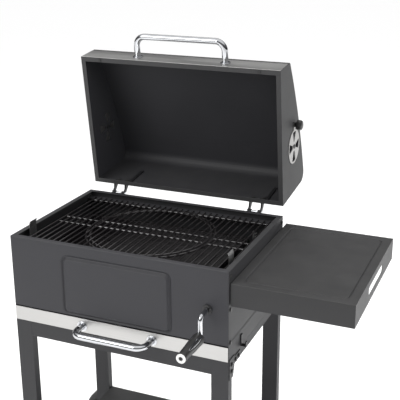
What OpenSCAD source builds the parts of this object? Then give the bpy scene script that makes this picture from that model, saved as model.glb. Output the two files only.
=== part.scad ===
// Barrel charcoal grill on a wheeled stand, lid held open at its stop.
// Millimetres, +Z up, floor at Z = 0. The firebox opens upwards, its front faces -Y,
// the side table is on the +X side and the two wheels are under the -X side.

/* [Firebox] */
// Width of the firebox over its side walls
body_w = 600; // [480:1:720]
// Depth of the firebox from front face to rear face
body_d = 400; // [340:1:480]
// Height of the firebox rim above the floor
rim_z = 845; // [700:1:1015]
// Thickness of the folded steel sheet
sheet = 1.5; // [1.2:0.1:2]
// Width of the lip folded inwards round the rim
lip = 14; // [12:1:16]
// Height of the front panel, down to the ash drawer
front_h = 193; // [180:1:215]
// Height of the side walls and the rear panel
wall_h = 234; // [228:1:280]

/* [Pressed front panel] */
// Width of the raised field
field_w = 292; // [200:1:350]
// Height of the raised field
field_h = 150; // [120:1:155]
// How far the field stands out of the panel
field_rise = 5; // [2:0.5:6]
// Distance from the rim down to the field
field_drop = 34; // [30:1:36]

/* [Cooking grates] */
// Diameter of the grate bars
bar_d = 4; // [3:0.5:5]
// Distance from bar to bar
bar_pitch = 17.5; // [15:0.5:21]
// Diameter of the cross rods and rings
ring_wire = 6; // [6:0.5:7]
// Distance from the front and rear edges of the firebox to the middle of the round ring
ring_margin = 30; // [25:1:59]
// Depth of the bars below the rim, to their centre line
grate_drop = 16; // [14:1:20]
// Distance from each cross rod to the middle of the grate
rod_offset = 19; // [16:1:25]

/* [Charcoal pan and lift] */
// Depth of the charcoal pan
pan_h = 55; // [45:1:60]
// Distance from the rim down to the pan's edge, at rest
pan_drop = 58; // [56:1:64]
// How far the pan can rise from its rest height
lift_up = 15; // [12:1:18]
// How far the pan can sink from its rest height
lift_down = 45; // [38:1:48]
// Teeth on each lifting pinion
pinion_teeth = 10; // [8:1:11]
// Tooth module of the pinions and racks
gear_module = 3; // [2.5:0.1:3]

/* [Ash drawer] */
// Height of the steel drawer front
drawer_front_h = 38; // [34:1:40]
// Height of the drawer's tray walls
drawer_tray_h = 28; // [22:1:30]
// Distance between the drawer handle's feet
drawer_handle_span = 197; // [150:1:240]
// Distance from the drawer front to the handle's bar
drawer_handle_reach = 50; // [40:1:60]

/* [Lid] */
// Height of the lid's front wall
lid_front_h = 79; // [66:1:95]
// Height of the lid's rear wall, to where the top would meet it
lid_rear_h = 197; // [165:1:236]
// How far the top bulges above a straight line
lid_crown = 14; // [10:1:20]
// Inset of the lid's front from the firebox front
lid_front_inset = 6; // [4:1:8]
// Inset of the lid's rear from the firebox rear
lid_rear_inset = 10; // [8:1:12]
// Inset of the lid's sides from the firebox sides
lid_side_inset = 6; // [4:1:7]
// Gap between the rim and the closed lid
lid_gap = 3; // [2:0.5:4]
// Width of the lip folded inwards round the lid's edge
lid_lip = 13; // [10:1:13]
// Angle the lid turns through from closed to its stop
open_angle = 83; // [70:1:95]
// Distance between the lid handle's feet
lid_handle_span = 260; // [200:1:320]
// Distance from the lid to the handle's bar
lid_handle_reach = 58; // [45:1:70]
// Diameter of both handles' tube
tube_d = 17; // [14:1:20]

/* [Hinges] */
// Distance of the hinge pin behind the firebox
pin_back = 14; // [12:1:18]
// Distance of the hinge pin below the rim
pin_drop = 4; // [2:1:6]
// Diameter of the hinge pin
pin_d = 6; // [5:1:7]
// Distance from the middle of the grill to each hinge
hinge_x = 213; // [160:1:240]

/* [Lid vents] */
// Diameter of the vent discs
vent_d = 96; // [80:1:110]
// Distance of the vent's centre behind the firebox front
vent_y = 253; // [210:1:280]
// Height of the vent's centre above the rim
vent_z = 104; // [90:1:115]
// Length of the vent's lever, centre to knob
vent_lever = 62; // [58:1:75]
// Angle the vent turns from open to shut
vent_travel = 45; // [40:1:45]

/* [Crank] */
// Distance of the crank shaft from the middle of the grill
crank_x = 247; // [205:1:255]
// Distance of the crank shaft below the rim
crank_drop = 103; // [95:1:112]
// Diameter of the crank rod
crank_rod_d = 12; // [10:1:12]
// Distance from the front panel to the crank's arm
crank_reach = 44; // [40:1:60]
// Length of the crank's arm
crank_arm = 50; // [40:1:65]
// Length of the crank's grip
grip_len = 100; // [80:1:120]
// Diameter of the grip at its thick end
grip_d = 31; // [26:1:36]

/* [Side table] */
// Width of the side table
table_w = 294; // [230:1:352]
// Depth of the side table
table_d = 422; // [350:1:500]
// Distance from the rim down to the table top
table_drop = 31; // [26:1:40]
// Height of the skirt round the table
table_skirt = 57; // [48:1:70]
// Distance of the table's front behind the firebox front
table_front = 6; // [0:1:12]
// Depth of the recess pressed in the table top
table_recess = 2; // [1.5:0.5:3]
// Width of the border round the recess
table_border = 22; // [18:1:30]
// Length of the grip slot in the table's end
slot_len = 154; // [120:1:185]
// Height of the grip slot
slot_h = 22; // [18:1:26]

/* [Stand] */
// Width of each leg, along X
leg_w = 45; // [36:1:54]
// Depth of each leg, along Y
leg_d = 22; // [20:1:27]
// Height of the front and rear rails
rail_h = 41; // [34:1:49]
// Height of the side rails
side_rail_h = 22; // [20:1:27]
// Height of the lower shelf above the floor
shelf_z = 190; // [165:1:228]
// Height of the shelf's skirt
shelf_skirt = 25; // [20:1:30]

/* [Wheels] */
// Diameter of the wheels
wheel_d = 160; // [134:1:192]
// Width of the wheel's tread
wheel_w = 32; // [26:1:38]
// Diameter of the axle
axle_d = 10; // [8:1:12]

/* [Hidden] */
$fn = 48;

eps = 0.01;
press_gap = 0.3;          // space left between pieces that slide past each other
running = 0.05;           // radial clearance of a running fit
screw_d = 6;              // nominal screw
screw_clear = 0.1;        // radial clearance of a screw in its hole
screw_head_d = 11;
screw_head_h = 3;

front_y = -body_d / 2;
rear_y = body_d / 2;
half_w = body_w / 2;
inner_x = half_w - sheet;

// closed lid, in firebox coordinates
lid_y0 = front_y + lid_front_inset;
lid_y1 = rear_y - lid_rear_inset;
lid_z0 = rim_z + lid_gap;
lid_half = half_w - lid_side_inset;
pin_y = rear_y + pin_back;
pin_z = rim_z - pin_drop;

// arc of the lid's top through the heads of the front and rear walls
chord_y = lid_y1 - lid_y0;
chord_z = lid_rear_h - lid_front_h;
chord = sqrt(chord_y * chord_y + chord_z * chord_z);
top_r = chord * chord / (8 * lid_crown) + lid_crown / 2;
top_cy = (lid_y0 + lid_y1) / 2 + chord_z / chord * (top_r - lid_crown);
top_cz = lid_z0 + (lid_front_h + lid_rear_h) / 2 - chord_y / chord * (top_r - lid_crown);
front_bend = 8;           // outside radius of the bend over the front wall
rear_bend = 26;           // outside radius of the bend over the rear wall
front_by = lid_y0 + front_bend;
front_bz = top_cz + sqrt(pow(top_r - front_bend, 2) - pow(front_by - top_cy, 2));
rear_by = lid_y1 - rear_bend;
rear_bz = top_cz + sqrt(pow(top_r - rear_bend, 2) - pow(rear_by - top_cy, 2));
front_turn = atan2(front_bz - top_cz, front_by - top_cy);
rear_turn = atan2(rear_bz - top_cz, rear_by - top_cy);

function arc(cy, cz, r, a0, a1, n) =
  [for (k = [0:n]) [cy + r * cos(a0 + (a1 - a0) * k / n), cz + r * sin(a0 + (a1 - a0) * k / n)]];

// side view of the lid as points [y, z], moved inwards by the given inset
function lid_outline(inset, foot) = concat(
  [[lid_y0 + inset, lid_z0 + foot]],
  arc(front_by, front_bz, front_bend - inset, 180, front_turn, 4),
  arc(top_cy, top_cz, top_r - inset, front_turn - 1, rear_turn + 0.5, 14),
  arc(rear_by, rear_bz, rear_bend - inset, rear_turn, 0, 7),
  [[lid_y1 - inset, lid_z0 + foot]]
);

// overall box, which the frame's origin is centred on
table_x0 = half_w + 2;
table_x1 = table_x0 + table_w;
wheel_r = wheel_d / 2;
axle_x = -half_w + leg_w / 2;
min_x = axle_x - wheel_r;
grip_y1 = front_y - crank_reach - crank_rod_d / 2 - press_gap;
cap_len = 4;
min_y = grip_y1 - grip_len - cap_len;
max_y = max([for (p = lid_outline(0, 0))
  pin_y + (p[0] - pin_y) * cos(open_angle) + (p[1] - pin_z) * sin(open_angle)]);
origin_x = (table_x1 + min_x) / 2;
origin_y = (max_y + min_y) / 2;

module place() translate([-origin_x, -origin_y, 0]) children();
module opened() translate([0, pin_y, pin_z]) rotate([-open_angle, 0, 0])
  translate([0, -pin_y, -pin_z]) children();
module both() {
  children();
  mirror([1, 0, 0]) children();
}

// box from its lowest corner to its highest corner
module span(lo, hi) translate(lo) cube([hi[0] - lo[0], hi[1] - lo[1], hi[2] - lo[2]]);
module rod_x(x0, x1, d) translate([x0, 0, 0]) rotate([0, 90, 0]) cylinder(h = x1 - x0, d = d);
module rod_y(y0, y1, d) translate([0, y1, 0]) rotate([90, 0, 0]) cylinder(h = y1 - y0, d = d);
module rounded(w, d, r) {
  square([w - 2 * r, d], center = true);
  square([w, d - 2 * r], center = true);
  for (x = [-1, 1], y = [-1, 1]) translate([x * (w / 2 - r), y * (d / 2 - r)]) circle(r);
}
// screw along +X with its head's seat at the origin and the head on the -X side
module screw_x(grip) {
  rod_x(-screw_head_h + 1, 0, screw_head_d);
  rod_x(-screw_head_h, 0, screw_head_d - 3);
  rod_x(0, grip, screw_d - 2 * screw_clear);
}
module hole_x(x, y, z, d = screw_d) translate([x, y, z]) rod_x(-10, 10, d);
module hole_y(x, y, z, d = screw_d) translate([x, y, z]) rod_y(-10, 10, d);

// handle lying in the XY plane: feet on Y = 0, bar at Y = -reach
handle_bend = 26;
module bow_handle(width, reach) {
  r = handle_bend;
  translate([0, -reach, 0]) rod_x(-width / 2 + r, width / 2 - r, tube_d);
  both() {
    translate([width / 2, 0, 0]) rod_y(-reach + r, 0, tube_d);
    translate([width / 2 - r, -reach + r, 0]) rotate([0, 0, -90])
      rotate_extrude(angle = 90) translate([r, 0]) circle(d = tube_d);
  }
}
flange_t = 4;
flange_d = tube_d + 11;
module handle_flanges(width) both() translate([width / 2, 0, 0]) difference() {
  union() {
    rod_y(-flange_t / 2, 0, flange_d);
    rod_y(-flange_t, 0, flange_d - 6);
  }
  rod_y(-flange_t - 1, 1, tube_d + 0.2);
}

/* ---------- firebox ---------- */
wall_screws = [for (y = [front_y + 11, rear_y - 11], z = [15, 100, 186]) [y, rim_z - z]];
field_slope = 8;
crank_z = rim_z - crank_drop;
bush_d = crank_rod_d + 8;

module pressed_field(grow) {
  w = field_w / 2;
  z0 = rim_z - field_drop - field_h;
  z1 = rim_z - field_drop;
  f = front_y + grow;
  r = field_rise;
  s = field_slope;
  intersection() {
    translate([0, 0, z0]) linear_extrude(field_h)
      polygon([[-w, f + 0.2], [-w, f], [-w + s, f - r], [w - s, f - r], [w, f], [w, f + 0.2]]);
    rotate([90, 0, 90]) linear_extrude(field_w, center = true)
      polygon([[f + 0.2, z0], [f, z0], [f - r, z0 + s], [f - r, z1 - s], [f, z1], [f + 0.2, z1]]);
  }
}

module front_panel() color("#48484a") place() difference() {
  union() {
    span([-inner_x, front_y, rim_z - front_h], [inner_x, front_y + sheet, rim_z]);
    span([-inner_x, front_y, rim_z - sheet], [inner_x, front_y + lip, rim_z]);
    both() span([inner_x - sheet, front_y, rim_z - front_h], [inner_x, front_y + 22, rim_z - sheet]);
    pressed_field(0);
  }
  pressed_field(sheet);
  translate([crank_x, 0, crank_z]) rod_y(front_y - 5, front_y + 5, bush_d + 0.2);
  for (p = wall_screws, s = [-1, 1]) hole_x(s * inner_x, p[0], p[1]);
}

hinge_leaf_w = 44;
leaf_holes_x = 14;
box_leaf_drop = 40;
module rear_panel() color("#48484a") place() difference() {
  union() {
    span([-inner_x, rear_y - sheet, rim_z - wall_h], [inner_x, rear_y, rim_z]);
    span([-inner_x, rear_y - lip, rim_z - sheet], [inner_x, rear_y, rim_z]);
    both() span([inner_x - sheet, rear_y - 22, rim_z - wall_h], [inner_x, rear_y, rim_z - sheet]);
  }
  for (p = wall_screws, s = [-1, 1]) hole_x(s * inner_x, p[0], p[1]);
  for (s = [-1, 1], k = [-1, 1]) hole_y(s * hinge_x + k * leaf_holes_x, rear_y, rim_z - box_leaf_drop);
}

module side_wall() difference() {
  union() {
    span([inner_x, front_y, rim_z - wall_h], [half_w, rear_y, rim_z]);
    span([half_w - lip, front_y + lip, rim_z - sheet], [half_w, rear_y - lip, rim_z]);
  }
  for (p = wall_screws) hole_x(half_w, p[0], p[1]);
}
module left_wall() color("#5a5a5c") place() mirror([1, 0, 0]) side_wall();
module right_wall() color("#5a5a5c") place() difference() {
  side_wall();
  for (p = table_screw_points) hole_x(half_w, p[0], p[1]);
}

grate_len = body_d - 2 * lip - 8;
bar_z = rim_z - grate_drop;
ledge_z = bar_z - bar_d / 2 - 0.05;
opening_r = body_d / 2 - ring_margin;
ledge_clear = 1;          // space between the ring and the edge of a ledge
ledge_reach = ring_margin - ring_wire / 2 - ledge_clear;
module grate_ledges() color("#5a5a5c") place() for (s = [1, -1]) mirror([0, s < 0 ? 1 : 0, 0]) {
  w = inner_x - sheet - 1;
  span([-w, front_y + sheet, ledge_z - sheet], [w, front_y + ledge_reach, ledge_z]);
  span([-w, front_y + sheet, ledge_z - 10], [w, front_y + 2 * sheet, ledge_z]);
}

tab_x = half_w - lip - 6.5;
tab_w = 30;
tab_y = front_y + 55;
tab_h = 22;
tab_lean = 3;
module lid_guide_tabs() color("silver") place() both() {
  span([tab_x - sheet, tab_y, rim_z - 30], [tab_x, tab_y + tab_w, rim_z + tab_h - 8]);
  span([tab_x - sheet, tab_y, rim_z - 30], [inner_x, tab_y + tab_w, rim_z - 30 + sheet]);
  translate([0, tab_y + tab_w, 0]) rotate([90, 0, 0]) linear_extrude(tab_w) polygon([
    [tab_x, rim_z + tab_h - 8], [tab_x - sheet, rim_z + tab_h - 8],
    [tab_x - sheet - tab_lean, rim_z + tab_h - 1], [tab_x - tab_lean, rim_z + tab_h]]);
}

hook_y = front_y + 83;
hook_w = 10;
hook_reach = 15;
module tool_hook() color("#101010") place() {
  y0 = hook_y - hook_w / 2;
  z0 = rim_z - wall_h + 5;
  span([half_w, y0, z0], [half_w + 3, y0 + hook_w, z0 + 30]);
  span([half_w, y0, z0], [half_w + hook_reach, y0 + hook_w, z0 + 3]);
  span([half_w + hook_reach - 3, y0, z0], [half_w + hook_reach, y0 + hook_w, z0 + 12]);
}

module firebox_screws() color("#1c1c1c") place() both() for (p = wall_screws)
  translate([half_w, p[0], p[1]]) mirror([1, 0, 0]) screw_x(7);

/* ---------- cooking grates ---------- */
bars_half = floor((tab_x - sheet - tab_lean - bar_d / 2 - 0.5) / bar_pitch + 0.5);
rod_x1 = (bars_half - 0.5) * bar_pitch + bar_d;
rod_z = bar_z - bar_d / 2 - ring_wire / 2 + 1.2;
insert_lift = 1.6;
insert_r = opening_r - ring_wire - 5;
insert_bar_r = opening_r - 1;
function half_chord(r, x) = abs(x) < r ? sqrt(r * r - x * x) : 0;

module bar(x, y0, y1, z) translate([x, 0, z]) rod_y(y0, y1, bar_d, $fn = 24);
module wire_ring(r, z) translate([0, 0, z]) rotate_extrude($fn = 96) translate([r, 0])
  circle(d = ring_wire, $fn = 24);

module cross_rod(x0, x1, y) translate([0, y, rod_z]) rod_x(x0, x1, ring_wire, $fn = 24);
end_rod_y = body_d / 2 - ledge_reach - ring_wire / 2 - 4;

module main_grate() color("#3a3a3c") place() {
  for (k = [0:bars_half - 1], side = [-1, 1]) {
    x = (k + 0.5) * bar_pitch;
    h = half_chord(opening_r, x);
    if (h > 0) for (s = [-1, 1])
      bar(side * x, s > 0 ? h - 1 : -grate_len / 2, s > 0 ? grate_len / 2 : 1 - h, bar_z);
    else bar(side * x, -grate_len / 2, grate_len / 2, bar_z);
  }
  for (s = [-1, 1]) {
    cross_rod(-rod_x1, rod_x1, s * end_rod_y);
    both() cross_rod(half_chord(opening_r, rod_offset), rod_x1, s * rod_offset);
  }
  wire_ring(opening_r, rod_z);
}

module grate_insert() color("#3a3a3c") place() translate([0, 0, insert_lift]) {
  for (k = [0:bars_half - 1], s = [-1, 1]) {
    x = (k + 0.5) * bar_pitch;
    h = half_chord(insert_bar_r, x);
    if (x < insert_r) bar(s * x, -h, h, bar_z);
  }
  for (s = [-1, 1])
    cross_rod(-half_chord(insert_r, rod_offset), half_chord(insert_r, rod_offset), s * rod_offset);
  wire_ring(insert_r, rod_z);
}

/* ---------- charcoal pan and its lift ---------- */
pitch_r = gear_module * pinion_teeth / 2;
rack_x = crank_x - pitch_r;                 // pitch line of the racks
rack_back = rack_x - 1.3 * gear_module - 5;
rack_y = body_d / 2 - sheet - 24;           // middle of each rack and pinion
rack_w = 8;
pan_x0 = -half_w + 32;
pan_x1 = rack_back - 8;
pan_half_d = body_d / 2 - 52;
pan_z1 = rim_z - pan_drop;
pan_z0 = pan_z1 - pan_h;
pan_rim = 8;
cradle_h = 8;
cradle_z0 = pan_z0 - press_gap - cradle_h;

module charcoal_pan() color("#202022") place() difference() {
  union() {
    span([pan_x0, -pan_half_d, pan_z0], [pan_x1, pan_half_d, pan_z1]);
    span([pan_x0 - pan_rim, -pan_half_d - pan_rim, pan_z1 - sheet],
      [pan_x1 + pan_rim / 2, pan_half_d + pan_rim, pan_z1]);
  }
  span([pan_x0 + sheet, -pan_half_d + sheet, pan_z0 + sheet],
    [pan_x1 - sheet, pan_half_d - sheet, pan_z1 + 1]);
  for (i = [-5:5], j = [-1, 0, 1])
    translate([(pan_x0 + pan_x1) / 2 + i * 40, j * 90, pan_z0 + sheet / 2])
      cube([8, 60, 2 * sheet], center = true);
}

// the cradle carries the pan on two long bars, and slides on four shoes in wall channels
cradle_w = 16;
bar_y1 = rack_y + rack_w / 2;
foot_len = 20;
shoe_t = 8;
shoe_reach = 10;
shoe_xs = [pan_x0 + 10, rack_back - foot_len - shoe_t - 4];
shoe_z0 = cradle_z0 - 12;
shoe_z1 = pan_z0 + 30;
module lift_cradle() color("silver") place() {
  for (s = [0, 1]) mirror([0, s, 0]) {
    span([shoe_xs[0], bar_y1 - cradle_w, cradle_z0],
      [rack_back - foot_len, bar_y1, cradle_z0 + cradle_h]);
    for (x = shoe_xs) span([x, bar_y1 - rack_w, shoe_z0], [x + shoe_t, bar_y1 + shoe_reach, shoe_z1]);
  }
  for (x = [shoe_xs[0] + 30, (pan_x0 + pan_x1) / 2 - cradle_w / 2, pan_x1 - 45])
    span([x, -rack_y, cradle_z0], [x + cradle_w, rack_y, cradle_z0 + cradle_h]);
}

// teeth of the racks: the space between two teeth lies level with the shaft at rest
tooth_pitch = PI * gear_module;
tooth_land = 0.22 * tooth_pitch;            // half width of a tooth at its root
tooth_tip = 0.11 * tooth_pitch;             // half width of a tooth at its tip
addendum = 0.9 * gear_module;
dedendum = 1.25 * gear_module;
rack_spare = 12;            // rack left beyond the pinion at each end of its travel
rack_top = lift_down + rack_spare;
rack_bottom = -lift_up - rack_spare;
module rack_side() {
  back = rack_back - rack_x;
  polygon([[back, rack_bottom], [-dedendum, rack_bottom], [-dedendum, rack_top], [back, rack_top]]);
  for (k = [ceil(rack_bottom / tooth_pitch):floor(rack_top / tooth_pitch) - 1]) {
    z = (k + 0.5) * tooth_pitch;
    polygon([[-dedendum - eps, z - tooth_land], [addendum, z - tooth_tip],
      [addendum, z + tooth_tip], [-dedendum - eps, z + tooth_land]]);
  }
}
module lift_racks() color("silver") place() for (s = [-1, 1]) {
  translate([rack_x, s * rack_y + rack_w / 2, crank_z]) rotate([90, 0, 0])
    linear_extrude(rack_w) rack_side();
  span([rack_back - foot_len, s * rack_y - rack_w / 2, cradle_z0],
    [rack_back + eps, s * rack_y + rack_w / 2, cradle_z0 + cradle_h]);
}

// one tooth of each pinion points at its rack at rest
module pinion_side() {
  circle(r = pitch_r - dedendum, $fn = 48);
  for (k = [0:pinion_teeth - 1]) rotate(180 + k * 360 / pinion_teeth) polygon([
    [pitch_r - dedendum - 1, -tooth_land], [pitch_r - dedendum - 1, tooth_land],
    [pitch_r + addendum, tooth_tip], [pitch_r + addendum, -tooth_tip]]);
}
module lift_pinions() color("silver") place() for (s = [-1, 1])
  translate([crank_x, s * rack_y + rack_w / 2, crank_z]) rotate([90, 0, 0])
    linear_extrude(rack_w) difference() {
      pinion_side();
      circle(d = crank_rod_d, $fn = 48);
    }

guide_t = 2;
guide_z0 = shoe_z0 - lift_down;
guide_z1 = shoe_z1;
module lift_guides() color("silver") place() for (s = [0, 1], x = shoe_xs) mirror([0, s, 0]) {
  y0 = bar_y1 + 2;
  y1 = body_d / 2 - sheet;
  for (gx = [x - press_gap - guide_t, x + shoe_t + press_gap])
    span([gx, y0, guide_z0], [gx + guide_t, y1, guide_z1]);
  span([x - press_gap - guide_t, y1 - guide_t, guide_z0],
    [x + shoe_t + press_gap + guide_t, y1, guide_z1]);
}

/* ---------- crank ---------- */
module crank_rod() color("#d0d0d0") place() translate([crank_x, 0, crank_z]) {
  r = crank_rod_d;
  y = front_y - crank_reach;
  rod_y(y + r, rear_y - sheet - 4, crank_rod_d);
  translate([0, y + r, -r]) rotate([0, -90, 0]) rotate([0, 0, -90])
    rotate_extrude(angle = 90) translate([r, 0]) circle(d = crank_rod_d);
  translate([0, y, -crank_arm]) cylinder(h = crank_arm - r, d = crank_rod_d);
  translate([0, y, -crank_arm]) sphere(d = crank_rod_d);
  translate([0, 0, -crank_arm]) rod_y(grip_y1 - grip_len - 1, y, crank_rod_d - 2);
}
module crank_bushes() color("#303032") place() translate([crank_x, 0, crank_z]) {
  difference() {
    union() {
      rod_y(front_y - 1, front_y + 8, bush_d);
      rod_y(front_y + sheet, front_y + 4, bush_d + 8);
      span([-16, rear_y - sheet - 3, -16], [16, rear_y - sheet, 16]);
      rod_y(rear_y - 13, rear_y - sheet - 3, bush_d);
    }
    rod_y(front_y - 8, rear_y - sheet - 3, crank_rod_d + 2 * running);
  }
}
module crank_rosette() color("#b0b0b0") place() translate([crank_x, 0, crank_z]) difference() {
  rod_y(front_y - 5, front_y - 1, bush_d + 3);
  rod_y(front_y - 6, front_y + 1, crank_rod_d + 1);
}
grip_end_d = 25;
grip_bore = crank_rod_d - 2 + 2 * running;
inlay_count = 4;
module at_grip() translate([crank_x, grip_y1, crank_z - crank_arm]) rotate([90, 0, 0]) children();
module grip_body() rotate_extrude() polygon([
  [grip_bore / 2, 0], [grip_d / 2 - 3, 0], [grip_d / 2, 4], [grip_d / 2, 30],
  [grip_end_d / 2, grip_len - 10], [grip_end_d / 2 - 1, grip_len], [grip_bore / 2, grip_len]]);
module inlay_slots(side) for (k = [0:inlay_count - 1]) rotate(45 + k * 360 / inlay_count)
  translate([grip_end_d / 2 - 3 - side, -3.5 - side, 8 - side])
    cube([10, 7 + 2 * side, grip_len - 30 + 2 * side]);
module crank_grip() color("#161616") place() at_grip() difference() {
  grip_body();
  inlay_slots(0);
}
module crank_grip_inlays() color("#d8d8d8") place() at_grip() intersection() {
  difference() {
    inlay_slots(-0.1);
    difference() {
      translate([0, 0, -1]) cylinder(h = grip_len + 2, d = grip_d + 20);
      translate([0, 0, -2]) cylinder(h = grip_len + 4, d = grip_end_d - 0.6);
    }
  }
  cylinder(h = grip_len, d = grip_d + 10);
}
module crank_end_cap() color("#e8e8e8") place() at_grip()
  translate([0, 0, grip_len + press_gap]) difference() {
    cylinder(h = cap_len - press_gap, d = grip_end_d - 2);
    translate([0, 0, -1]) cylinder(h = 1.7, d = crank_rod_d - 2);
    translate([0, 0, cap_len - 1.5]) cylinder(h = 2, d = 9);
  }

/* ---------- ash drawer ---------- */
drawer_z0 = rim_z - wall_h + 3;
drawer_half = inner_x - 2 * sheet - 1.5;
drawer_back = 14;
module drawer_runners() color("silver") place() both() {
  y0 = front_y + 2;
  y1 = rear_y - 22;
  span([inner_x - sheet, y0, drawer_z0 - sheet], [inner_x, y1, drawer_z0 + 24]);
  span([inner_x - 20, y0, drawer_z0 - sheet], [inner_x, y1, drawer_z0]);
}
module ash_drawer() color("#3a3a3c") place() difference() {
  z0 = drawer_z0 + press_gap;
  y0 = front_y - 0.5;
  y1 = rear_y - drawer_back;
  span([-drawer_half, y0, z0], [drawer_half, y1, z0 + drawer_tray_h]);
  span([-drawer_half + sheet, y0 + sheet, z0 + sheet],
    [drawer_half - sheet, y1 - sheet, z0 + drawer_tray_h + 1]);
}
drawer_front_y = front_y - 0.5 - sheet;
module drawer_front() color("#d8d8d6") place() {
  z1 = rim_z - front_h - 1.5;
  span([-half_w + 1, drawer_front_y, z1 - drawer_front_h], [half_w - 1, front_y - 0.5, z1]);
}
handle_z = rim_z - front_h - 1.5 - drawer_front_h / 2 - 2;
module drawer_handle() color("#e0e0e0") place() translate([0, drawer_front_y, handle_z])
  bow_handle(drawer_handle_span, drawer_handle_reach);
module drawer_handle_flanges() color("#e0e0e0") place() translate([0, drawer_front_y, handle_z])
  handle_flanges(drawer_handle_span);

/* ---------- lid ---------- */
lid_inner = lid_half - sheet;
module lid_ring(w0, w1, o0, o1) rotate([90, 0, 90]) translate([0, 0, w0]) linear_extrude(w1 - w0)
  difference() {
    polygon(lid_outline(o0, 0));
    polygon(lid_outline(o1, -1));
  }
module lid_shell() color("#48484a") place() opened() {
  difference() {
    lid_ring(-lid_inner, lid_inner, 0, sheet);
    for (s = [-1, 1], k = [-1, 1])
      hole_y(s * hinge_x + k * leaf_holes_x, lid_y1, lid_z0 + lid_leaf_rise);
    for (s = [-1, 1]) hole_y(s * lid_handle_span / 2, lid_y0, lid_handle_z, 8.4);
  }
  span([-lid_inner, lid_y0, lid_z0], [lid_inner, lid_y0 + lid_lip, lid_z0 + sheet]);
  span([-lid_inner, lid_y1 - lid_lip, lid_z0], [lid_inner, lid_y1, lid_z0 + sheet]);
}

vent_at = [front_y + vent_y, rim_z + vent_z];
vent_turn = 90 + open_angle;
petal_r0 = 13;
petal_r1 = vent_d / 2 - 5;
petal_half = 19;
module petals() for (k = [0:3]) rotate(k * 90) polygon(concat(
  arc(0, 0, petal_r0, -petal_half, petal_half, 3), arc(0, 0, petal_r1, petal_half, -petal_half, 5)));
module lid_side() difference() {
  union() {
    rotate([90, 0, 90]) translate([0, 0, lid_inner]) linear_extrude(sheet)
      polygon(lid_outline(0, 0));
    span([lid_half - lid_lip, lid_y0 + lid_lip, lid_z0], [lid_half, lid_y1 - lid_lip, lid_z0 + sheet]);
  }
  translate([lid_half, vent_at[0], vent_at[1]]) rotate([90, 0, 90]) rotate(vent_turn)
    translate([0, 0, -5]) linear_extrude(10) {
      petals();
      circle(d = rivet_d + 0.2);
    }
}
module lid_side_left() color("#5a5a5c") place() opened() mirror([1, 0, 0]) lid_side();
module lid_side_right() color("#5a5a5c") place() opened() lid_side();

strip_h = lid_front_h * 0.78;
strip_t = 1;
module lid_trim_strip() color("#d8d8d6") place() opened() difference() {
  span([-lid_half + 1, lid_y0 - strip_t, lid_z0 + 1], [lid_half - 1, lid_y0, lid_z0 + strip_h]);
  for (s = [-1, 1]) hole_y(s * lid_handle_span / 2, lid_y0, lid_handle_z, 8.4);
}
lid_handle_z = lid_z0 + strip_h / 2;
module lid_handle() color("#e0e0e0") place() opened()
  translate([0, lid_y0 - strip_t, lid_handle_z]) {
    bow_handle(lid_handle_span, lid_handle_reach);
    both() translate([lid_handle_span / 2, 0, 0]) rod_y(-1, 8, 8);
  }
module lid_handle_flanges() color("#e0e0e0") place() opened()
  translate([0, lid_y0 - strip_t, lid_handle_z]) handle_flanges(lid_handle_span);
bumper_x = 235;
bumper_d = 9;
module lid_bumpers() color("#101010") place() opened() both()
  translate([bumper_x, lid_y0 + sheet + 1 + bumper_d / 2, lid_z0]) {
    translate([0, 0, -lid_gap + press_gap]) cylinder(h = lid_gap - press_gap, d = bumper_d);
    translate([0, 0, sheet]) cylinder(h = 3, d = bumper_d);
  }

/* ---------- hinges ---------- */
leaf_t = 2;
knuckle_d = pin_d + 6;
lid_leaf_rise = 26;
lid_leaf_h = 44;
ear_t = 5;
lid_ear_x = 15;           // inner face of each ear of the lid's leaf
box_ear_x = lid_ear_x - press_gap - ear_t;
module at_hinges() for (s = [-1, 1]) translate([s * hinge_x, 0, 0]) children();
module knuckle(x0, x1) translate([0, pin_y, pin_z]) rod_x(x0, x1, knuckle_d);
module lid_hinge_leaves() color("#141414") place() opened() at_hinges() difference() {
  h = hinge_leaf_w / 2;
  union() {
    span([-h, lid_y1, lid_z0 + 4], [h, lid_y1 + leaf_t, lid_z0 + 4 + lid_leaf_h]);
    both() {
      knuckle(lid_ear_x, lid_ear_x + ear_t);
      translate([lid_ear_x, 0, 0]) rotate([90, 0, 90]) linear_extrude(ear_t) polygon([
        [lid_y1, lid_z0 + 4], [lid_y1, lid_z0 + 28], [pin_y + knuckle_d / 2 - 1, pin_z + 3],
        [pin_y, pin_z], [pin_y - knuckle_d / 2 + 1, pin_z], [rear_y + 3, lid_z0 + 1]]);
    }
  }
  translate([0, pin_y, pin_z]) rod_x(-h, h, pin_d + 2 * running);
  for (k = [-1, 1]) hole_y(k * leaf_holes_x, lid_y1, lid_z0 + lid_leaf_rise);
}
module firebox_hinge_leaves() color("#141414") place() at_hinges() difference() {
  h = hinge_leaf_w / 2;
  union() {
    span([-h, rear_y, rim_z - box_leaf_drop - 12], [h, rear_y + leaf_t, pin_z - 8]);
    both() {
      knuckle(box_ear_x, box_ear_x + ear_t);
      span([box_ear_x, rear_y, pin_z - 24], [box_ear_x + ear_t, rear_y + leaf_t, pin_z - 3]);
      span([box_ear_x, rear_y, pin_z - 8], [box_ear_x + ear_t, pin_y, pin_z - 3]);
    }
  }
  translate([0, pin_y, pin_z]) rod_x(-h, h, pin_d);
  for (k = [-1, 1]) hole_y(k * leaf_holes_x, rear_y, rim_z - box_leaf_drop);
}
module hinge_pins() color("silver") place() at_hinges() translate([0, pin_y, pin_z]) {
  h = lid_ear_x + ear_t + press_gap;
  rod_x(-h, h, pin_d);
  both() rod_x(h, h + 2, pin_d + 3);
}
strap_w = 9;
strap_len = 92;
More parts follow.
